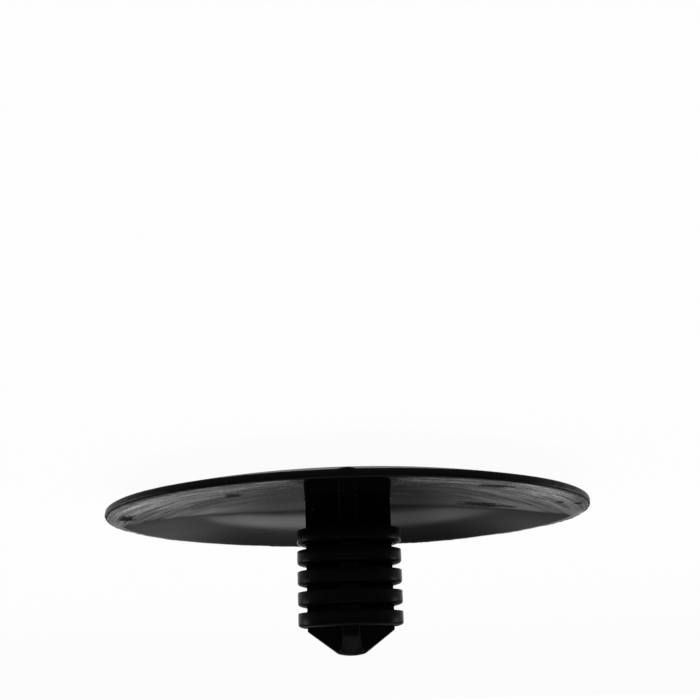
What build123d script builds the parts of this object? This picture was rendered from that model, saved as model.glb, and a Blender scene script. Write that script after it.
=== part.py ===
from build123d import *
import os
from math import hypot, radians, tan

# Large-head push rivet: a shallow domed head and a ribbed shank, moulded in one piece.
# It stands on the middle of its dome with the shank pointing up.
# The origin is the middle of the dome, and +Z runs along the shank towards its point.

# ---- head ----
head_diameter = 38.0  # across the rim
dome_rise = 2.4  # from the middle of the dome up to the rim's outer wall
dome_flat = 5.0  # across the flat in the middle of the dome, which it stands on
rim_thickness = 0.52  # height of the rim's outer wall
head_wall = 1.2  # wall in the middle of the head
land_width = 0.5  # flat ring under the rim, which meets the panel
rim_bevel = 0.15  # both edges of the rim's outer wall

# ---- core of the shank, a cross of two wings and a narrower web ----
core_width = 6.8  # across the wings
wing_thickness = 1.4
web_span = 5.7  # from the front face of the web to its back face
web_face_width = 1.3  # width of the web at those two faces
web_draft = 7.0  # lean of the web's sides in degrees, for release from the mould

# ---- ribs ----
rib_count = 5
rib_height = 0.75  # how far the ribs stand out from the ends of the wings
rib_pitch = 1.62
rib_thickness = 1.16  # along the shank
rib_lead = 0.25  # bevel of the leading side, which goes into the hole first
flat_margin = 0.1  # flat left between the grooves' rounds and the bevel
groove_round = 0.2  # bottom of the grooves, across the ends of the wings
grip_gap = 0.9  # from the land under the rim to the first rib

# ---- point ----
shoulder_length = 0.3  # plain core between the last rib and the point
point_slope = 37.0  # degrees that the point falls away from square
point_end_diameter = 2.15
point_end_rise = 0.15  # crown of the blunt end

# ---- sizes that follow ----
head_radius = head_diameter / 2
flat_radius = dome_flat / 2
dome_centre = (head_radius**2 + dome_rise**2 - flat_radius**2) / (2 * dome_rise)
core_reach = core_width / 2
rib_radius = core_reach + rib_height
bevel_radius = hypot(core_reach + groove_round, wing_thickness / 2) + flat_margin
point_end_radius = point_end_diameter / 2
point_fall = tan(radians(point_slope))
land_level = dome_rise + rim_thickness
dish_radius = head_radius - rim_bevel - land_width
first_rib = land_level + grip_gap
rib_levels = [first_rib + number * rib_pitch for number in range(rib_count)]
shoulder_level = rib_levels[-1] + rib_thickness + shoulder_length
cone_level = shoulder_level - (rib_radius - core_reach) * point_fall
point_level = shoulder_level + (core_reach - point_end_radius) * point_fall
top_level = point_level + point_end_rise
web_root_y = wing_thickness / 2
web_face_y = web_span / 2
web_face_x = web_face_width / 2
web_root_x = web_face_x + (web_face_y - web_root_y) * tan(radians(web_draft))
buried_level = head_wall / 2  # the core starts inside the wall of the head

# The cross: the wings' band along X and the web along Y, whose sides lean in outwards.
with BuildSketch() as core_section:
    Rectangle(core_width, wing_thickness)
    with BuildLine():
        Polyline(
            (0, 0),
            (web_root_x, 0),
            (web_root_x, web_root_y),
            (web_face_x, web_face_y),
            (0, web_face_y),
        )
        mirror(about=Plane.YZ)
    make_face()
    mirror(about=Plane.XZ)

# Half-profile of the space that the core keeps to: straight, then a cone to the blunt end.
with BuildSketch(Plane.XZ) as core_profile:
    with BuildLine():
        Polyline(
            (0, buried_level),
            (rib_radius, buried_level),
            (rib_radius, cone_level),
            (point_end_radius, point_level),
        )
        crown = TangentArc((0, top_level), (point_end_radius, point_level), tangent=(1, 0))
        Line(crown @ 0, (0, buried_level))
    make_face()

# Half-profiles of the ribs, one above the other.
with BuildSketch(Plane.XZ) as rib_profiles:
    with Locations(*[(0, level) for level in rib_levels]):
        Polygon(
            (0, 0),
            (rib_radius, 0),
            (rib_radius, rib_thickness - rib_lead),
            (bevel_radius, rib_thickness),
            (0, rib_thickness),
            align=None,
        )

# Half-profile of the head: the dome, the rim's wall, the land and the dished underside.
with BuildSketch(Plane.XZ) as head_profile:
    with BuildLine():
        start = (flat_radius, 0)
        dome = TangentArc(start, (head_radius, dome_rise), tangent=(dome_centre, flat_radius))
        dish = TangentArc((0, head_wall), (dish_radius, land_level), tangent=(1, 0))
        Polyline(dome @ 1, (head_radius, land_level), dish @ 1)
        Polyline(start, (0, 0), dish @ 0)
    make_face()
    chamfer(head_profile.vertices().group_by(Axis.X)[-1], rim_bevel)

with BuildPart() as push_rivet:
    # cross-shaped core, trimmed to the point
    with BuildSketch(Plane.XY.offset(buried_level)):
        add(core_section.sketch)
    extrude(amount=top_level - buried_level)
    revolve(core_profile.sketch, axis=Axis.Z, mode=Mode.INTERSECT)

    # ribs, with the grooves between them rounded across the ends of the wings
    revolve(rib_profiles.sketch, axis=Axis.Z)
    wing_ends = push_rivet.faces().filter_by(Axis.X)
    groove_edges = wing_ends.edges().filter_by(Axis.Y).sort_by(Axis.Z)
    # the lowest two are the core's buried start, and the top two are beside the point
    fillet(groove_edges[2:-2], groove_round)

    # head
    revolve(head_profile.sketch, axis=Axis.Z)

push_rivet.part.label = "push_rivet"

os.makedirs("parts", exist_ok=True)
export_step(push_rivet.part, "parts/push_rivet.step")
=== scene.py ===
"""Push rivet: a shallow domed head and a ribbed shank, moulded in one piece of black plastic."""

from math import atan2, cos, hypot, pi, radians, sin, sqrt, tan

import bmesh
import bpy
from bpy.props import FloatProperty, FloatVectorProperty, IntProperty, PointerProperty
from mathutils import Euler, Matrix, Vector, noise


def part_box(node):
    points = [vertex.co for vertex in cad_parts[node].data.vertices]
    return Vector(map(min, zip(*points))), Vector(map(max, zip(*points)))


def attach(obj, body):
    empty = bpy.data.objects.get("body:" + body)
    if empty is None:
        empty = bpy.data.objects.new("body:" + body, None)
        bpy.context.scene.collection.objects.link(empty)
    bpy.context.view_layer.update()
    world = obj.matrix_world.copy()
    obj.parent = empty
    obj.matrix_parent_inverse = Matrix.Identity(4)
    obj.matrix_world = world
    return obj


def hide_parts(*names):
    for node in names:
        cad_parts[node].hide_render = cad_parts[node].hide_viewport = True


bl_info = {
    "name": "Push Rivet",
    "version": (1, 0, 0),
    "blender": (4, 5, 0),
    "location": "View3D > Sidebar > Push Rivet",
    "description": "Models a large-head push rivet and sets it on a plain studio floor",
    "category": "Object",
}

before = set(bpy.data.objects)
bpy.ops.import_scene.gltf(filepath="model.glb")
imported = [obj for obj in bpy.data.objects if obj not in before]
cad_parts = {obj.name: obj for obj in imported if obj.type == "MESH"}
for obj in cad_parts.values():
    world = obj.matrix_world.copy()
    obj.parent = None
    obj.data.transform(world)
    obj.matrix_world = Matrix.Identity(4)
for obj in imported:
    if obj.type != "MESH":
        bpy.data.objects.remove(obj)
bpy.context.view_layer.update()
_, node_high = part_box("push_rivet")

MM = 0.001
DEGREES = 180 / pi
WHITE = (1.0, 1.0, 1.0, 1.0)


def length(name, description, default):
    """A size in metres that the panel shows in the scene's own unit."""
    return FloatProperty(
        name=name, description=description, default=default, min=0.0, unit="LENGTH", precision=5
    )


def angle(name, description, degrees):
    """An angle, given here in degrees."""
    return FloatProperty(
        name=name, description=description, default=radians(degrees), subtype="ANGLE"
    )


def share(name, description, default):
    """A value from 0 to 1."""
    return FloatProperty(
        name=name, description=description, default=default, min=0.0, max=1.0, subtype="FACTOR"
    )


def colour(name, description, default):
    """A colour as red, green and blue."""
    return FloatVectorProperty(
        name=name, description=description, default=default, min=0.0, max=1.0, subtype="COLOR"
    )


# ---------------------------------------------------------------------------
# Sizes and finishes
# ---------------------------------------------------------------------------


class HeadSizes(bpy.types.PropertyGroup):
    """The domed head, its rim and its dished underside."""

    radius: length("Radius", "From the axis to the rim's outer wall", node_high.x)
    dome_rise: length("Dome rise", "From the middle of the dome to the rim's outer wall", 2.4 * MM)
    rim_height: length("Rim height", "Height of the rim's outer wall", 0.52 * MM)
    rim_round: length("Rim round", "Both edges of the rim's outer wall", 0.17 * MM)
    wall: length("Wall", "Thickness in the middle of the head", 1.2 * MM)
    land_width: length("Land width", "Flat ring under the rim", 0.5 * MM)
    unevenness: length("Unevenness", "How far the rim strays from a true circle", 0.05 * MM)
    gate_width: length("Gate width", "Width of the trimmed gate mark on the rim", 1.3 * MM)
    gate_depth: length("Gate depth", "How far the gate mark reaches down from the rim", 0.15 * MM)


class ShankSizes(bpy.types.PropertyGroup):
    """The cross-shaped core, the ribs round it and its point."""

    core_reach: length("Core reach", "From the axis to the end of a wing", 3.4 * MM)
    wing_thickness: length("Wing thickness", "Thickness of the two wings", 1.4 * MM)
    web_reach: length("Web reach", "From the axis to a face of the web", 2.85 * MM)
    web_face: length("Web face", "Width of the web at its two faces", 1.3 * MM)
    web_draft: angle("Web draft", "Lean of the web's sides", 7.0)
    corner_round: length("Corner round", "Long outer corners of the core", 0.1 * MM)
    inner_round: length("Inner round", "Long inner corners of the core", 0.2 * MM)
    foot_round: length("Foot round", "Where the core grows out of the head", 0.18 * MM)
    rib_count: IntProperty(name="Ribs", description="How many ribs", default=5, min=1, max=12)
    rib_height: length("Rib height", "How far the ribs stand out from the wings", 0.75 * MM)
    rib_pitch: length("Rib pitch", "From one rib to the next", 1.62 * MM)
    rib_thickness: length("Rib thickness", "Along the shank", 1.16 * MM)
    flank_drop: length("Flank drop", "Slope of a rib's leading side", 0.14 * MM)
    nose_round: length("Nose round", "Leading edge of a rib", 0.25 * MM)
    back_round: length("Back round", "Back edge of a rib", 0.05 * MM)
    groove_round: length("Groove round", "Ends of the wings between the ribs", 0.2 * MM)
    grip_gap: length("Grip gap", "From the land under the rim to the first rib", 0.9 * MM)
    shoulder: length("Shoulder", "Plain core between the last rib and the point", 0.3 * MM)
    point_slope: angle("Point slope", "How far the point falls away from square", 37.0)
    point_end: length("Point end", "Radius of the blunt end", 1.075 * MM)
    point_rise: length("Point rise", "Crown of the blunt end", 0.15 * MM)
    point_round: length("Point round", "Edge of the blunt end", 0.12 * MM)


class PlasticFinish(bpy.types.PropertyGroup):
    """The black plastic, from the matt dome to the smooth underside."""

    body: colour("Body", "The plastic itself", (0.002, 0.002, 0.0021))
    dust: colour("Dust", "Pale specks", (0.16, 0.16, 0.165))
    dome_rough: share("Dome roughness", "Roughness of the grained dome", 0.46)
    rim_rough: share("Rim roughness", "Roughness of the rim's outer wall", 0.34)
    under_rough: share("Underside roughness", "Roughness of the dished underside", 0.07)
    shank_rough: share("Shank roughness", "Roughness of the ribbed shank", 0.2)
    grain_size: length("Grain size", "Size of the dome's grain", 0.16 * MM)


class StudioSetup(bpy.types.PropertyGroup):
    """The floor, the room, the lamps and the camera."""

    floor_radius: length("Floor radius", "Radius of the round floor", 0.9)
    floor_tone: colour("Floor colour", "Colour of the floor and backdrop", (0.86, 0.86, 0.86))
    room_light: FloatProperty(
        name="Room light", description="Radiance of the even room", default=0.35, min=0.0
    )
    lamp_power: FloatProperty(
        name="Lamp strength", description="Multiplies the power of the lamps", default=1.0, min=0.0
    )
    camera_distance: length("Camera distance", "From the axis to the camera", 79.22 * MM)
    camera_height: length("Camera height", "Height of the camera over the floor", 14.02 * MM)
    camera_aim: angle("Camera aim", "Downward tilt", 11.695)
    camera_turn: angle("Camera turn", "Sideways turn", 0.218)
    camera_roll: angle("Camera roll", "How far the roll falls short of upside down", 1.68)
    camera_lens: FloatProperty(
        name="Lens", description="Focal length in millimetres", default=51.06, min=10.0
    )
    camera_shift: FloatProperty(
        name="Shift", description="Vertical shift of the lens", default=0.15
    )


# ---------------------------------------------------------------------------
# Modelling
# ---------------------------------------------------------------------------


def of_kind(geometry, kind):
    """The vertices, edges or faces in what a bmesh operator made."""
    return [item for item in geometry if isinstance(item, kind)]


def extruded(bm, edges):
    """Extrudes a loop of edges, and returns its new vertices, edges and faces."""
    made = bmesh.ops.extrude_edge_only(bm, edges=edges)["geom"]
    verts = set(of_kind(made, bmesh.types.BMVert))
    loop = [edge for edge in of_kind(made, bmesh.types.BMEdge) if verts.issuperset(edge.verts)]
    return verts, loop, of_kind(made, bmesh.types.BMFace)


def polar(radius, turn, level):
    """A place at a distance from the axis, in a direction, at a height."""
    return Vector((radius * cos(turn), radius * sin(turn), level))


def rounded(steps):
    """Pairs that run from 0 to a full round: how far along, and how far across."""
    for step in range(1, steps + 1):
        turn = step / steps * pi / 2
        yield sin(turn), 1 - cos(turn)


def sphere_radius(reach, rise):
    """Radius of the sphere whose cap has this reach and rise."""
    return (reach**2 + rise**2) / (2 * rise)


class RingStack:
    """A closed skin that is pulled out ring by ring from one outline round the axis."""

    def __init__(self, outline, material):
        self.bm = outline
        self.material = material
        self.ring = sorted(outline.verts, key=lambda vert: atan2(vert.co.y, vert.co.x))
        self.edges = list(outline.edges)
        self.section = [vert.co.xy.copy() for vert in self.ring]
        self.angles = [atan2(point.y, point.x) for point in self.section]
        self.reach = [point.length for point in self.section]
        self.first = list(self.ring)

    def disc(self, radius, level):
        """The places of a round ring."""
        return [polar(radius, turn, level) for turn in self.angles]

    def place_first(self, places):
        """Puts the outline's own corners in their places."""
        for vert, place in zip(self.first, places):
            vert.co = place

    def pull(self, places):
        """Extrudes the last ring and puts the copy's corners in their places."""
        fresh, self.edges, faces = extruded(self.bm, self.edges)
        for face in faces:
            face.material_index = self.material
        following = []
        for vert, place in zip(self.ring, places):
            partner = next(
                edge.other_vert(vert) for edge in vert.link_edges if edge.other_vert(vert) in fresh
            )
            partner.co = place
            following.append(partner)
        self.ring = following

    def pull_disc(self, radius, level):
        """Pulls a round ring."""
        self.pull(self.disc(radius, level))


def core_outline(shank):
    """The core's cross as one loop of edges, its corners rounded, fine enough for the rim."""
    tolerance = 1e-6
    outer_steps, inner_steps = 4, 5
    finest_turn = radians(0.75)
    half = shank.wing_thickness / 2
    root = shank.web_face / 2 + (shank.web_reach - half) * tan(shank.web_draft)
    quarter = [(shank.core_reach, half), (root, half), (shank.web_face / 2, shank.web_reach)]
    upper = quarter + [(-x, y) for x, y in reversed(quarter)]
    corners = upper + [(-x, -y) for x, y in upper]
    bm = bmesh.new()
    verts = [bm.verts.new((x, y, 0.0)) for x, y in corners]
    bm.faces.new(verts)
    inner = [vert for vert in verts if abs(abs(vert.co.x) - root) < tolerance]
    outer = [vert for vert in verts if vert not in inner]
    for group, rounding, steps in (
        (outer, shank.corner_round, outer_steps),
        (inner, shank.inner_round, inner_steps),
    ):
        bmesh.ops.bevel(
            bm,
            geom=group,
            offset=rounding,
            offset_type="OFFSET",
            affect="VERTICES",
            segments=steps,
            profile=0.5,
            material=-1,
        )
    bmesh.ops.delete(bm, geom=list(bm.faces), context="FACES_ONLY")
    # the more of a turn an edge spans, the more pieces it is cut into
    for edge in list(bm.edges):
        first, last = edge.verts
        turn = abs(first.co.xy.angle_signed(last.co.xy))
        cuts = round(turn / finest_turn) - 1
        if cuts > 0:
            bmesh.ops.subdivide_edges(bm, edges=[edge], cuts=cuts)
    return bm


class RivetShape:
    """Pulls the rivet's skin from the sizes, ring by ring from the point down to the dome."""

    DOME, RIM, UNDERSIDE, SHANK = range(4)

    HAIR = 0.03 * MM  # between two rings that keep a corner's shading narrow
    SHARP = radians(34)  # an edge that turns by more is shaded as sharp

    # how often the rim's unevenness repeats and how strong it is: long waves, short waves, nicks
    RIM_WAVES = ((0.35, 0.7), (2.3, 0.4), (6.1, 0.55))

    def __init__(self, head, shank):
        self.head = head
        self.shank = shank
        self.stack = RingStack(core_outline(shank), self.SHANK)
        # heights over the floor
        self.land = head.dome_rise + head.rim_height
        self.first_rib = self.land + shank.grip_gap
        last_rib = self.first_rib + (shank.rib_count - 1) * shank.rib_pitch
        self.ribs_end = last_rib + shank.rib_thickness
        cone_drop = (shank.core_reach - shank.point_end) * tan(shank.point_slope)
        self.point_level = self.ribs_end + shank.shoulder + cone_drop
        self.top = self.point_level + shank.point_rise
        # distances from the axis
        self.cone_top = shank.point_end + shank.point_round * cos(shank.point_slope)
        self.rib_reach = shank.core_reach + shank.rib_height
        self.dish_reach = head.radius - head.rim_round - head.land_width
        # radii of the spheres
        self.dome_ball = sphere_radius(head.radius, head.dome_rise)
        self.dish_ball = sphere_radius(self.dish_reach, self.land - head.wall)
        self.crown_ball = sphere_radius(shank.point_end, shank.point_rise)

    # heights of the curved faces at a distance from the axis

    def crown(self, radius):
        return self.top - (self.crown_ball - sqrt(self.crown_ball**2 - radius**2))

    def cone(self, radius):
        return self.point_level - (radius - self.shank.point_end) * tan(self.shank.point_slope)

    def dish(self, radius):
        return self.head.wall + self.dish_ball - sqrt(self.dish_ball**2 - radius**2)

    def dome(self, radius):
        return self.dome_ball - sqrt(self.dome_ball**2 - radius**2)

    # places of the rings that aren't round

    def core(self, level, spread=0.0):
        """The core's outline, with the ends of the wings drawn out by the spread."""
        places = []
        to_spare = 1.05  # so that the ends take in all of their rounded corners
        wing_ends = self.shank.core_reach - self.shank.corner_round * to_spare
        for x, y in self.stack.section:
            if abs(x) > wing_ends:
                x += spread * (1 if x > 0 else -1)
            places.append(Vector((x, y, level)))
        return places

    def flared(self, amount, lift):
        """The core's outline moved outwards all round, at a height over the dish."""
        section = self.stack.section
        places = []
        for index, point in enumerate(section):
            along = section[(index + 1) % len(section)] - section[index - 1]
            outwards = Vector((along.y, -along.x)).normalized()
            x, y = point + outwards * amount
            places.append(Vector((x, y, self.dish(hypot(x, y)) + lift)))
        return places

    def uneven(self, turn, level):
        """How far the moulded rim strays at this place."""
        circle, upwards = 9, 0.7
        place = Vector((cos(turn) * circle, sin(turn) * circle, level / MM * upwards))
        waves = sum(weight * noise.noise(place * often) for often, weight in self.RIM_WAVES)
        return self.head.unevenness * waves

    def gate(self, turn):
        """How much of the trimmed gate mark, towards -Y, lies at this place."""
        head = self.head
        squareness, ripple, ripples = 3, 0.2, 4
        away = (turn + pi / 2) * head.radius / (head.gate_width / 2)
        lump = max(0.0, 1 - abs(away) ** squareness)
        return lump * (1 - ripple + ripple * cos(away * ripples))

    def rim_ring(self, radius, level, stray, mark=0.0):
        """A ring of the rim, with a share of its unevenness and of the gate mark."""
        gate_outwards, stray_upwards = 0.4, 0.8
        places = []
        for turn in self.stack.angles:
            depth = mark * self.gate(turn) * self.head.gate_depth
            off = stray * self.uneven(turn, level)
            reach = radius + off + gate_outwards * depth
            places.append(polar(reach, turn, level - depth + stray_upwards * off))
        return places

    # the faces, in the order in which they are pulled

    def build(self):
        """Returns the finished skin as a closed mesh."""
        self.blunt_end()
        self.point()
        for number in reversed(range(self.shank.rib_count)):
            level = self.first_rib + number * self.shank.rib_pitch
            self.leading_side(level + self.shank.rib_thickness, number)
            self.back_side(level)
            self.groove(level, number)
        self.foot()
        self.underside()
        self.rim()
        self.dome_face()
        return self.closed()

    def blunt_end(self):
        """The crown from its middle outwards, and its round edge."""
        shank, stack = self.shank, self.stack
        hub, steps = 0.05, 5
        edge = shank.point_end - shank.point_round
        stack.place_first(stack.disc(edge * hub, self.crown(edge * hub)))
        for part in (0.25, 0.5, 0.75, 0.9, 1.0):
            stack.pull_disc(edge * part, self.crown(edge * part))
        # a curve from the crown into the cone
        start = Vector((edge, self.crown(edge)))
        corner = Vector((shank.point_end, self.point_level))
        finish = Vector((self.cone_top, self.cone(self.cone_top)))
        for step in range(1, steps + 1):
            part = step / steps
            spot = (
                start * (1 - part) ** 2 + corner * 2 * part * (1 - part) + finish * part**2
            )
            stack.pull_disc(spot.x, spot.y)

    def point(self):
        """The cone, down to where it meets the core's walls, and the shoulder."""
        stack = self.stack
        above_rib = 0.04 * MM
        for part in (0.2, 0.4, 0.6, 0.8, 1.0):
            places = []
            for turn, reach in zip(stack.angles, stack.reach):
                radius = self.cone_top + (reach - self.HAIR - self.cone_top) * part
                places.append(polar(radius, turn, self.cone(radius)))
            stack.pull(places)
        stack.pull(
            [
                Vector((*point, self.cone(reach) - self.HAIR))
                for point, reach in zip(stack.section, stack.reach)
            ]
        )
        stack.pull(self.core(self.ribs_end + above_rib))

    def leading_side(self, root, number):
        """A rib's leading side: flat at its root, then sloping back to the round nose."""
        shank, stack = self.shank, self.stack
        margin, steps = 0.05 * MM, 6
        flat = hypot(shank.core_reach + shank.groove_round, shank.wing_thickness / 2) + margin
        topmost = number == shank.rib_count - 1
        stack.pull(self.core(root, 0.0 if topmost else shank.groove_round))
        stack.pull_disc(flat, root)
        slope = shank.flank_drop / (self.rib_reach - flat)
        lean = atan2(shank.flank_drop, self.rib_reach - flat)
        turn = pi / 2 - lean
        setback = shank.nose_round * tan(turn / 2)
        slope_end = self.rib_reach - setback * cos(lean)
        if slope_end > flat:
            stack.pull_disc(slope_end, root - slope * (slope_end - flat))
        middle = self.rib_reach - shank.nose_round
        middle_level = root - shank.flank_drop - setback
        for step in range(1, steps + 1):
            up = pi / 2 - lean - turn * step / steps
            stack.pull_disc(
                middle + shank.nose_round * cos(up), middle_level + shank.nose_round * sin(up)
            )

    def back_side(self, level):
        """A rib's outer wall, its back edge and its back face."""
        stack = self.stack
        edge, reach = self.shank.back_round, self.rib_reach
        stack.pull_disc(reach, level + edge)
        for along, across in rounded(3):
            stack.pull_disc(reach - edge * across, level + edge * (1 - along))
        stack.pull_disc(reach - edge - self.HAIR, level)

    def groove(self, level, number):
        """The core behind a rib, with rounds at the ends of the wings."""
        stack, depth = self.stack, self.shank.groove_round
        steps = 4
        stack.pull(self.core(level, depth))
        for along, across in rounded(steps):
            stack.pull(self.core(level - depth * across, depth * (1 - along)))
        if number > 0:
            # the next rib's leading side starts where this round ends
            next_root = level - self.shank.rib_pitch + self.shank.rib_thickness
            for along, across in reversed([*rounded(steps)][:-1]):
                stack.pull(self.core(next_root + depth * across, depth * (1 - along)))

    def foot(self):
        """The neck, and the round where it grows out of the dish."""
        size = self.shank.foot_round
        self.stack.pull(self.core(self.dish(self.shank.core_reach) + size))
        for along, across in rounded(5):
            self.stack.pull(self.flared(size * across, size * (1 - along)))

    def underside(self):
        """From the foot's cross to round rings, and out over the dish."""
        stack = self.stack
        stack.material = self.UNDERSIDE
        size, steps, clearance = self.shank.foot_round, 22, 2.5
        near = self.flared(size, 0.0)
        first = self.shank.core_reach + clearance * size
        for part in (0.15, 0.5, 1.0):
            places = []
            for place, turn in zip(near, stack.angles):
                start = atan2(place.y, place.x)
                if abs(start - turn) <= pi:
                    turn = start * (1 - part) + turn * part
                radius = place.xy.length * (1 - part) + first * part
                places.append(polar(radius, turn, self.dish(radius)))
            stack.pull(places)
        short_of_land = 0.08 * MM
        last = self.dish_reach - short_of_land
        for step in range(1, steps + 1):
            radius = first + (last - first) * step / steps
            stack.pull_disc(radius, self.dish(radius))

    def rim(self):
        """The soft edge of the dish, the land, and the outer wall between its two rounds."""
        head, stack = self.head, self.stack
        edge, outer, steps = head.rim_round, head.radius, 5
        land_stray, wall_mark = 0.6, 0.5
        stray_fade, mark_fade = 0.4, 0.5
        for radius in (self.dish_reach - self.HAIR, self.dish_reach + self.HAIR):
            stack.pull_disc(radius, min(self.dish(radius), self.land))
        stack.pull(self.rim_ring(outer - edge, self.land, stray=land_stray))
        stack.material = self.RIM
        for along, across in rounded(steps):
            radius = outer - edge * (1 - along)
            stack.pull(self.rim_ring(radius, self.land - edge * across, stray=1.0))
        wall_top, wall_foot = self.land - edge, head.dome_rise + edge
        for part in (0.5, 1.0):
            level = wall_top * (1 - part) + wall_foot * part
            stack.pull(self.rim_ring(outer, level, stray=1.0, mark=wall_mark * part))
        drop = wall_foot - self.dome(outer - edge)
        for along, across in rounded(steps):
            radius, level = outer - edge * across, wall_foot - drop * along
            stray, mark = 1.0 - stray_fade * across, 1.0 - mark_fade * across
            stack.pull(self.rim_ring(radius, level, stray, mark))

    def dome_face(self):
        """From the rim in to the middle of the dome, where the rings end in a small hub."""
        head, stack = self.head, self.stack
        stack.material = self.DOME
        start, steps, hub = head.radius - head.rim_round, 26, 0.012
        for step in range(1, steps + 1):
            radius = start * cos(step / steps * pi / 2) if step < steps else start * hub
            stack.pull_disc(radius, self.dome(radius))

    def closed(self):
        """Closes both poles and returns the finished mesh."""
        bm, stack = self.stack.bm, self.stack
        bmesh.ops.pointmerge(bm, verts=stack.first, merge_co=Vector((0, 0, self.top)))
        bmesh.ops.pointmerge(bm, verts=stack.ring, merge_co=Vector((0, 0, 0)))
        bmesh.ops.recalc_face_normals(bm, faces=bm.faces)
        for face in bm.faces:
            face.smooth = True
        for edge in bm.edges:
            edge.smooth = edge.calc_face_angle(0.0) <= self.SHARP
        return bm


# ---------------------------------------------------------------------------
# Shader nodes
# ---------------------------------------------------------------------------


def feed(tree, socket, value):
    """Sets a socket to a plain number, or links another socket to it."""
    if isinstance(value, (int, float)):
        socket.default_value = value
    else:
        tree.links.new(value, socket)


def maths(tree, operation, *values):
    """A Math node whose inputs are sockets or plain numbers."""
    node = tree.nodes.new("ShaderNodeMath")
    node.operation = operation
    for socket, value in zip(node.inputs, values):
        feed(tree, socket, value)
    return node.outputs[0]


def times(tree, first, second):
    """The product of two values."""
    return maths(tree, "MULTIPLY", first, second)


def added(tree, total, value, weight):
    """The total plus the weighted value."""
    return maths(tree, "MULTIPLY_ADD", value, weight, total)


def vector_maths(tree, operation, *vectors, output="Vector"):
    """A Vector Math node whose inputs are sockets."""
    node = tree.nodes.new("ShaderNodeVectorMath")
    node.operation = operation
    for socket, vector in zip(node.inputs, vectors):
        tree.links.new(vector, socket)
    return node.outputs[output]


def split(tree, vector):
    """The three coordinates of a vector."""
    node = tree.nodes.new("ShaderNodeSeparateXYZ")
    tree.links.new(vector, node.inputs[0])
    return node.outputs["X"], node.outputs["Y"], node.outputs["Z"]


def noise_of(tree, vector, scale, detail, rough):
    """A noise between 0 and 1."""
    node = tree.nodes.new("ShaderNodeTexNoise")
    tree.links.new(vector, node.inputs["Vector"])
    feed(tree, node.inputs["Scale"], scale)
    node.inputs["Detail"].default_value = detail
    node.inputs["Roughness"].default_value = rough
    return node.outputs["Fac"]


def rise(tree, value, low, high):
    """0 below the low value and 1 above the high one."""
    node = tree.nodes.new("ShaderNodeMapRange")
    node.interpolation_type = "SMOOTHSTEP"
    tree.links.new(value, node.inputs["Value"])
    node.inputs["From Min"].default_value = low
    node.inputs["From Max"].default_value = high
    return node.outputs["Result"]


def fall(tree, value, low, high):
    """1 below the low value and 0 above the high one."""
    return maths(tree, "SUBTRACT", 1.0, rise(tree, value, low, high))


def mixed(tree, factor, first, second):
    """The first value where the factor is 0 and the second where it is 1."""
    node = tree.nodes.new("ShaderNodeMix")
    tree.links.new(factor, node.inputs["Factor"])
    feed(tree, node.inputs["A"], first)
    feed(tree, node.inputs["B"], second)
    return node.outputs["Result"]


def profile(tree, value, stops):
    """A curve through its stops, pairs of input and output, the inputs from 0 upwards."""
    top = stops[-1][0]
    node = tree.nodes.new("ShaderNodeValToRGB")
    node.color_ramp.interpolation = "EASE"
    marks = node.color_ramp.elements
    marks.remove(marks[1])
    for place, level in stops:
        mark = marks.new(place / top) if place > 0 else marks[0]
        mark.color = (level, level, level, 1.0)
    tree.links.new(maths(tree, "DIVIDE", value, top), node.inputs["Fac"])
    return node.outputs["Color"]


def new_group(name, inputs, outputs):
    """A shader node group with its named sockets, and its two end nodes."""
    group = bpy.data.node_groups.new(name, "ShaderNodeTree")
    for label, default in inputs.items():
        kind = "NodeSocketVector" if default is None else "NodeSocketFloat"
        socket = group.interface.new_socket(name=label, in_out="INPUT", socket_type=kind)
        if default is not None:
            socket.default_value = default
    for label in outputs:
        group.interface.new_socket(name=label, in_out="OUTPUT", socket_type="NodeSocketFloat")
    start = group.nodes.new("NodeGroupInput")
    finish = group.nodes.new("NodeGroupOutput")
    return group, start.outputs, finish.inputs


def grain_group():
    """Fine moulded grain as a height, and a mask that varies from place to place."""
    group, given, result = new_group(
        "Moulded grain",
        {"Vector": None, "Grain per metre": 6000.0, "Blotch per metre": 250.0},
        ("Height", "Blotch"),
    )
    place = given["Vector"]
    fine = noise_of(group, place, given["Grain per metre"], detail=3.0, rough=0.6)
    blotch = noise_of(group, place, given["Blotch per metre"], detail=3.0, rough=0.55)
    group.links.new(fine, result["Height"])
    group.links.new(blotch, result["Blotch"])
    return group


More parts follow.
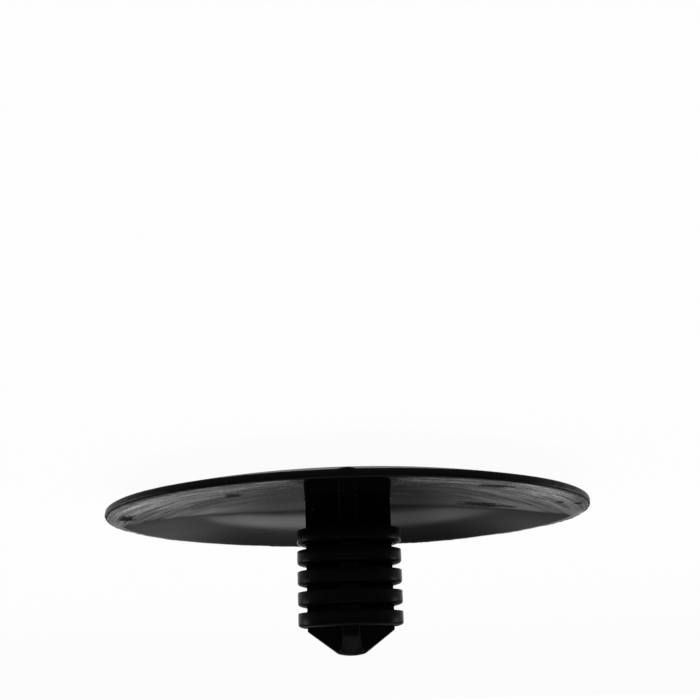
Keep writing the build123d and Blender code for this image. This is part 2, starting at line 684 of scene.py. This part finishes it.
def streak_group():
    """Streaks that follow the front of the rim, where handling rubbed the plastic.

    Height is fine lines all over, Rubbed is the mask of where they show, and Waves is a broad
    unevenness there that keeps off the shank.
    """
    group, given, result = new_group(
        "Rubbed streaks",
        {
            "Vector": None,
            "Reach": 19.0 * MM,
            "Across per metre": 800.0,
            "Along per metre": 150.0,
        },
        ("Height", "Waves", "Rubbed"),
    )
    rubbed_until = (-2.5 * MM, 2.0 * MM)
    guarded_by_shank = (2.8 * MM, 4.2 * MM)
    waves_from = (3.4 * MM, 6.0 * MM)
    x, y, _ = split(group, given["Vector"])
    aside = maths(group, "ABSOLUTE", x)
    # how far a place lies behind the front of the rim
    square = maths(
        group, "SUBTRACT", times(group, given["Reach"], given["Reach"]), times(group, x, x)
    )
    front = maths(group, "SQRT", maths(group, "MAXIMUM", square, 0.0))
    behind = maths(group, "ADD", y, front)
    joined = group.nodes.new("ShaderNodeCombineXYZ")
    group.links.new(times(group, behind, given["Across per metre"]), joined.inputs["X"])
    group.links.new(times(group, x, given["Along per metre"]), joined.inputs["Y"])
    place = joined.outputs["Vector"]
    lines = noise_of(group, place, 1.0, detail=3.0, rough=0.6)
    rubbed = times(
        group, fall(group, y, *rubbed_until), rise(group, aside, *guarded_by_shank)
    )
    # centred on 0, so that their mask makes no step
    waves = maths(group, "SUBTRACT", noise_of(group, place, 0.27, detail=1.0, rough=0.5), 0.5)
    shown = times(group, rubbed, rise(group, aside, *waves_from))
    waves = times(group, waves, shown)
    group.links.new(lines, result["Height"])
    group.links.new(waves, result["Waves"])
    group.links.new(rubbed, result["Rubbed"])
    return group


def scuff_group():
    """One scuff with a ragged edge, torn so that its face leans steeply."""
    group, given, result = new_group(
        "Scuff",
        {"Vector": None, "Centre": None, "Size": None, "Lean": 100000.0},
        ("Mask", "Height"),
    )
    raggedness, torn_height = 2.2, 6.0
    ragged_edge = (1.6, 1.9)
    offset = vector_maths(group, "SUBTRACT", given["Vector"], given["Centre"])
    away = vector_maths(group, "DIVIDE", offset, given["Size"])
    distance = vector_maths(group, "LENGTH", away, output="Value")
    ragged = noise_of(group, away, 1.9, detail=4.0, rough=0.7)
    mask = fall(group, added(group, distance, ragged, raggedness), *ragged_edge)
    torn = times(group, noise_of(group, away, 5.0, detail=3.0, rough=0.7), torn_height)
    _, offset_y, _ = split(group, offset)
    height = added(group, torn, offset_y, given["Lean"])
    group.links.new(mask, result["Mask"])
    group.links.new(times(group, mask, height), result["Height"])
    return group


def speck_group():
    """Pale specks of dust as one mask."""
    group, given, result = new_group(
        "Specks",
        {"Vector": None, "Specks per metre": 700.0, "Amount": 0.5},
        ("Mask",),
    )
    speck_edge = (0.03, 0.09)
    cells_chosen = (0.9, 0.95)
    cells = group.nodes.new("ShaderNodeTexVoronoi")
    group.links.new(given["Vector"], cells.inputs["Vector"])
    group.links.new(given["Specks per metre"], cells.inputs["Scale"])
    close = fall(group, cells.outputs["Distance"], *speck_edge)
    # a few of the cells, each with one speck
    pick = group.nodes.new("ShaderNodeSeparateColor")
    group.links.new(cells.outputs["Color"], pick.inputs[0])
    specks = times(group, close, rise(group, pick.outputs["Red"], *cells_chosen))
    group.links.new(times(group, specks, given["Amount"]), result["Mask"])
    return group


# ---------------------------------------------------------------------------
# Materials
# ---------------------------------------------------------------------------

# How much each effect adds to the roughness.
BLOTCH_ROUGH = 0.1
DUST_ROUGH = 0.3
RUBBED_ROUGH = 0.27
SCUFF_ROUGH = 0.25

# Which of the lines' heights count as worn.
WORN_LINES = (0.42, 0.64)

# The bump's unit of height, and heights in that unit.
BUMP_STEP = 0.02 * MM
LINE_HEIGHT = 4.0
WAVE_HEIGHT = 14.0

# The middle of each scuff, and its size in X and Y, in millimetres.
SCUFFS = (
    ((17.2, -2.8, 2.8), (0.9, 2.2)),
    ((8.5, -6.5, 1.9), (0.9, 1.6)),
    ((-10.3, -10.5, 2.3), (1.7, 2.0)),
    ((-16.2, -4.2, 2.6), (0.35, 0.9)),
    ((-17.4, -5.0, 2.8), (0.35, 0.9)),
    ((-11.1, 1.2, 2.0), (3.0, 1.3)),
)
SCUFF_DEPTH = 2.0


class Plastic:
    """Makes the finishes of the same black plastic, one for each kind of face."""

    def __init__(self, finish):
        self.finish = finish
        self.groups = {
            "grain": grain_group(),
            "streaks": streak_group(),
            "specks": speck_group(),
            "scuff": scuff_group(),
        }

    def material(self, name, roughness, specular, grain, dust, streaks=0.0, scuffs=()):
        """A finish: its roughness, its specular level, and how much of each effect it has."""
        material = bpy.data.materials.new(name)
        material.use_nodes = True
        tree = material.node_tree
        links, nodes = tree.links, tree.nodes
        shader = nodes["Principled BSDF"]
        shader.inputs["Specular IOR Level"].default_value = specular
        shader.inputs["IOR"].default_value = 1.5
        place = nodes.new("ShaderNodeTexCoord").outputs["Object"]

        def effect(key, settings):
            node = nodes.new("ShaderNodeGroup")
            node.node_tree = self.groups[key]
            links.new(place, node.inputs["Vector"])
            for label, value in settings.items():
                node.inputs[label].default_value = value
            return node.outputs

        grained = effect("grain", {"Grain per metre": 1.0 / self.finish.grain_size})
        dusty = effect("specks", {"Amount": dust})

        # colour: the plastic, lifted where dust lies
        tint = nodes.new("ShaderNodeMix")
        tint.data_type = "RGBA"
        links.new(dusty["Mask"], tint.inputs["Factor"])
        tint.inputs["A"].default_value = (*self.finish.body, 1.0)
        tint.inputs["B"].default_value = (*self.finish.dust, 1.0)
        links.new(tint.outputs["Result"], shader.inputs["Base Color"])

        # roughness and height: blotchy, and rougher where it is dusty, rubbed or scuffed
        rough = added(tree, roughness - BLOTCH_ROUGH / 2, grained["Blotch"], BLOTCH_ROUGH)
        rough = added(tree, rough, dusty["Mask"], DUST_ROUGH)
        height = times(tree, grained["Height"], grain)
        if streaks:
            streaky = effect("streaks", {})
            lines, rubbed = streaky["Height"], streaky["Rubbed"]
            worn = times(tree, rise(tree, lines, *WORN_LINES), rubbed)
            rough = added(tree, rough, worn, RUBBED_ROUGH * streaks)
            height = added(tree, height, times(tree, lines, rubbed), LINE_HEIGHT * streaks)
            height = added(tree, height, streaky["Waves"], WAVE_HEIGHT * streaks)
        for middle, size in scuffs:
            scuff = effect(
                "scuff",
                {"Centre": Vector(middle) * MM, "Size": Vector((*size, SCUFF_DEPTH)) * MM},
            )
            rough = added(tree, rough, scuff["Mask"], SCUFF_ROUGH)
            height = maths(tree, "ADD", scuff["Height"], height)
        links.new(rough, shader.inputs["Roughness"])

        bump = nodes.new("ShaderNodeBump")
        bump.inputs["Strength"].default_value = 1.0
        bump.inputs["Distance"].default_value = BUMP_STEP
        links.new(height, bump.inputs["Height"])
        links.new(bump.outputs["Normal"], shader.inputs["Normal"])
        return material


def paper(name, tone, lit_share):
    """Pale paper, which the camera, gloss and glass see as white, with the object's shadow kept."""
    material = bpy.data.materials.new(name)
    material.use_nodes = True
    tree = material.node_tree
    links, nodes = tree.links, tree.nodes
    nodes.clear()
    output = nodes.new("ShaderNodeOutputMaterial")
    matt = nodes.new("ShaderNodeBsdfDiffuse")
    matt.inputs["Color"].default_value = (*tone, 1.0)
    white = nodes.new("ShaderNodeEmission")
    white.inputs["Color"].default_value = WHITE
    white.inputs["Strength"].default_value = 1.0
    path = nodes.new("ShaderNodeLightPath").outputs
    seen = maths(tree, "MAXIMUM", path["Is Camera Ray"], path["Is Glossy Ray"])
    seen = maths(tree, "MAXIMUM", seen, path["Is Transmission Ray"])
    mix = nodes.new("ShaderNodeMixShader")
    links.new(times(tree, seen, lit_share), mix.inputs["Fac"])
    links.new(matt.outputs[0], mix.inputs[1])
    links.new(white.outputs[0], mix.inputs[2])
    links.new(mix.outputs[0], output.inputs["Surface"])
    return material


# ---------------------------------------------------------------------------
# Studio
# ---------------------------------------------------------------------------

# The room's light behind the rivet, against degrees over the horizon.
# Straight behind it, where an arched card stands over a low one:
MIDDLE_LIGHT = (
    (0, 0.07),
    (6, 0.08),
    (9, 0.13),
    (11.8, 0.15),
    (12.6, 0.02),
    (13.4, 0.04),
    (15, 0.1),
    (18.5, 0.42),
    (20.8, 0.5),
    (22.8, 0.09),
    (27, 0.07),
)
# To the sides of that:
SIDE_LIGHT = (
    (0, 0.3),
    (4, 0.36),
    (11.7, 0.38),
    (12.6, 0.03),
    (13.5, 0.11),
    (15, 0.15),
    (20, 0.28),
    (27, 0.4),
)
# Where both have reached the light of the even room:
ROOM_STARTS = 40
# Degrees to the side, between which the one turns into the other, and the cards into the room:
MIDDLE_TO_SIDES = (3.0, 7.0)
CARDS_TO_ROOM = (13.0, 30.0)

# The arch comes down by this for each degree to the side, squared, but only above the low card.
ARCH_DROP = 0.24
LOW_CARD_TOP = (12.4, 14.0)

# What varies along the cards, against degrees from their start on the side towards -X.
CARDS_START = 12.0
# The low card's upper edge, from 0 for BEND degrees up to 1 for BEND degrees down:
BENT_EDGE = ((0, 0.5), (10, 0.4), (14.5, 0.1), (16.5, 0.35), (19.2, 1.0), (23, 0.6), (26, 0.5))
BEND = 2.0
BEND_FADES = (14.5, 17.5)
# A dim stretch of the cards:
DIMMING = ((0, 1.0), (5, 0.75), (8, 0.6), (9.6, 0.42), (11, 0.42), (12.5, 1.0))

# Name, place, size and power. +X is on the picture's left, because the camera is rolled over.
LAMPS = (
    ("Left soft box", (0.27, 0.12, 0.06), 0.12, 0.2),
    ("Right soft box", (-0.27, 0.12, 0.06), 0.12, 0.2),
    ("Top soft box", (0.0, -0.04, 0.3), 0.3, 0.45),
)

# How the floor's edge sweeps up: distance as a share of its radius, and height.
FLOOR_SWEEP = ((1.03, 0.008), (1.05, 0.02), (1.06, 0.054))
# How much of what the camera sees of the floor is plain white, and not shaded paper.
FLOOR_LIT = 0.96


def add_object(scene, name, bm):
    """Turns a finished bmesh into an object at the origin."""
    mesh = bpy.data.meshes.new(name)
    bm.to_mesh(mesh)
    bm.free()
    item = bpy.data.objects.new(name, mesh)
    scene.collection.objects.link(item)
    return item


def add_floor(scene, studio):
    """A round floor whose edge sweeps up a little."""
    bm = bmesh.new()
    bmesh.ops.create_circle(bm, cap_ends=True, segments=96, radius=studio.floor_radius)
    edges = list(bm.edges)
    for grow, lift in FLOOR_SWEEP:
        verts, edges, _ = extruded(bm, edges)
        for vert in verts:
            flat = vert.co.xy.normalized() * studio.floor_radius * grow
            vert.co = Vector((flat.x, flat.y, lift))
    bmesh.ops.recalc_face_normals(bm, faces=bm.faces)
    for face in bm.faces:
        face.smooth = True
    if max(bm.faces, key=lambda face: face.calc_area()).normal.z < 0:
        bmesh.ops.reverse_faces(bm, faces=bm.faces)
    floor = add_object(scene, "studio_floor", bm)
    floor.data.materials.append(paper("Floor paper", studio.floor_tone, FLOOR_LIT))


def add_world(scene, studio):
    """An even grey room with a low card and an arched card behind the rivet.

    The underside mirrors their edges. To the camera alone, the room is plain white.
    """
    world = bpy.data.worlds.new("Studio")
    world.use_nodes = True
    tree = world.node_tree
    links, nodes = tree.links, tree.nodes
    background = nodes["Background"]
    background.inputs["Color"].default_value = WHITE
    x, y, z = split(tree, nodes.new("ShaderNodeTexCoord").outputs["Generated"])
    # all in degrees
    height = times(tree, maths(tree, "ARCSINE", z), DEGREES)
    aside = times(tree, maths(tree, "ARCTAN2", x, y), DEGREES)
    turn = maths(tree, "ABSOLUTE", aside)
    stretch = maths(tree, "ADD", aside, CARDS_START)
    bend = added(tree, -BEND, profile(tree, stretch, BENT_EDGE), 2 * BEND)
    bend = times(tree, bend, fall(tree, height, *BEND_FADES))
    height = maths(tree, "ADD", height, bend)
    drop = times(tree, times(tree, turn, turn), ARCH_DROP)
    arched = added(tree, height, drop, rise(tree, height, *LOW_CARD_TOP))
    room = studio.room_light
    middle = profile(tree, arched, (*MIDDLE_LIGHT, (ROOM_STARTS, room)))
    sides = profile(tree, height, (*SIDE_LIGHT, (ROOM_STARTS, room)))
    light = mixed(tree, rise(tree, turn, *MIDDLE_TO_SIDES), middle, sides)
    light = times(tree, light, profile(tree, stretch, DIMMING))
    light = mixed(tree, rise(tree, turn, *CARDS_TO_ROOM), light, room)
    seen = nodes.new("ShaderNodeLightPath").outputs["Is Camera Ray"]
    links.new(mixed(tree, seen, light, 1.0), background.inputs["Strength"])
    scene.world = world


def add_lamps(scene, studio):
    """Square lamps that face the rivet."""
    for name, place, size, power in LAMPS:
        lamp = bpy.data.lights.new(name, "AREA")
        lamp.shape = "SQUARE"
        lamp.size = size
        lamp.energy = power * studio.lamp_power
        item = bpy.data.objects.new(name, lamp)
        item.location = place
        item.rotation_euler = (-Vector(place)).to_track_quat("-Z", "Y").to_euler()
        scene.collection.objects.link(item)


def add_camera(scene, studio):
    """A camera in front of the rivet, rolled over so that the shank points down."""
    camera = bpy.data.cameras.new("Camera")
    camera.sensor_width = 36.0
    camera.lens = studio.camera_lens
    camera.shift_y = studio.camera_shift
    camera.clip_start = 0.001
    camera.clip_end = 10.0
    item = bpy.data.objects.new("Camera", camera)
    aim = Euler((pi / 2 - studio.camera_aim, 0.0, studio.camera_turn)).to_matrix()
    roll = Matrix.Rotation(pi - studio.camera_roll, 3, "Z")
    place = Vector((0.0, -studio.camera_distance, studio.camera_height))
    item.matrix_world = Matrix.Translation(place) @ (aim @ roll).to_4x4()
    scene.collection.objects.link(item)
    scene.camera = item


# ---------------------------------------------------------------------------
# Add-on
# ---------------------------------------------------------------------------


class PUSHRIVET_OT_rivet(bpy.types.Operator):
    """Model the rivet's skin in one closed piece, with its plastic finish"""

    bl_idname = "pushrivet.rivet"
    bl_label = "Rivet"

    def execute(self, context):
        scene = context.scene
        finish = scene.rivet_finish
        bm = RivetShape(scene.rivet_head, scene.rivet_shank).build()
        open_edges = [edge for edge in bm.edges if len(edge.link_faces) != 2]
        if open_edges:
            raise RuntimeError(f"the rivet's skin has {len(open_edges)} open edges")
        skin = add_object(scene, "rivet_skin", bm)
        plastic = Plastic(finish)
        # in the order of the faces' numbers in RivetShape
        for material in (
            plastic.material(
                "Dome plastic", finish.dome_rough, specular=0.3, grain=1.0, dust=0.3
            ),
            plastic.material(
                "Rim plastic", finish.rim_rough, specular=0.03, grain=0.6, dust=0.25
            ),
            plastic.material(
                "Underside plastic",
                finish.under_rough,
                specular=0.3,
                grain=0.03,
                dust=0.3,
                streaks=1.0,
                scuffs=SCUFFS,
            ),
            plastic.material(
                "Shank plastic", finish.shank_rough, specular=0.014, grain=0.25, dust=0.25
            ),
        ):
            skin.data.materials.append(material)
        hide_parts("push_rivet")
        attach(skin, "root")
        return {"FINISHED"}


class PUSHRIVET_OT_studio(bpy.types.Operator):
    """Set up the plain floor, the room, the soft lamps and the camera"""

    bl_idname = "pushrivet.studio"
    bl_label = "Studio"

    def execute(self, context):
        scene = context.scene
        studio = scene.rivet_studio
        add_floor(scene, studio)
        add_world(scene, studio)
        add_lamps(scene, studio)
        add_camera(scene, studio)
        scene.view_settings.view_transform = "Standard"
        return {"FINISHED"}


class PUSHRIVET_PT_panel(bpy.types.Panel):
    """The rivet's operators and sizes"""

    bl_idname = "PUSHRIVET_PT_panel"
    bl_label = "Push Rivet"
    bl_space_type = "VIEW_3D"
    bl_region_type = "UI"
    bl_category = "Push Rivet"

    def draw(self, context):
        layout = self.layout
        for operator in OPERATORS:
            layout.operator(operator.bl_idname)
        for name in GROUPS:
            group = getattr(context.scene, name)
            box = layout.box()
            for prop in group.__annotations__:
                box.prop(group, prop)


OPERATORS = (PUSHRIVET_OT_rivet, PUSHRIVET_OT_studio)
GROUPS = {
    "rivet_head": HeadSizes,
    "rivet_shank": ShankSizes,
    "rivet_finish": PlasticFinish,
    "rivet_studio": StudioSetup,
}


def register():
    for group in GROUPS.values():
        bpy.utils.register_class(group)
    for name, group in GROUPS.items():
        setattr(bpy.types.Scene, name, PointerProperty(type=group))
    for item in (*OPERATORS, PUSHRIVET_PT_panel):
        bpy.utils.register_class(item)


def unregister():
    for item in reversed((*OPERATORS, PUSHRIVET_PT_panel)):
        bpy.utils.unregister_class(item)
    for name in GROUPS:
        delattr(bpy.types.Scene, name)
    for group in reversed(GROUPS.values()):
        bpy.utils.unregister_class(group)


def main():
    register()
    bpy.ops.pushrivet.rivet()
    bpy.ops.pushrivet.studio()


if __name__ == "__main__":
    main()
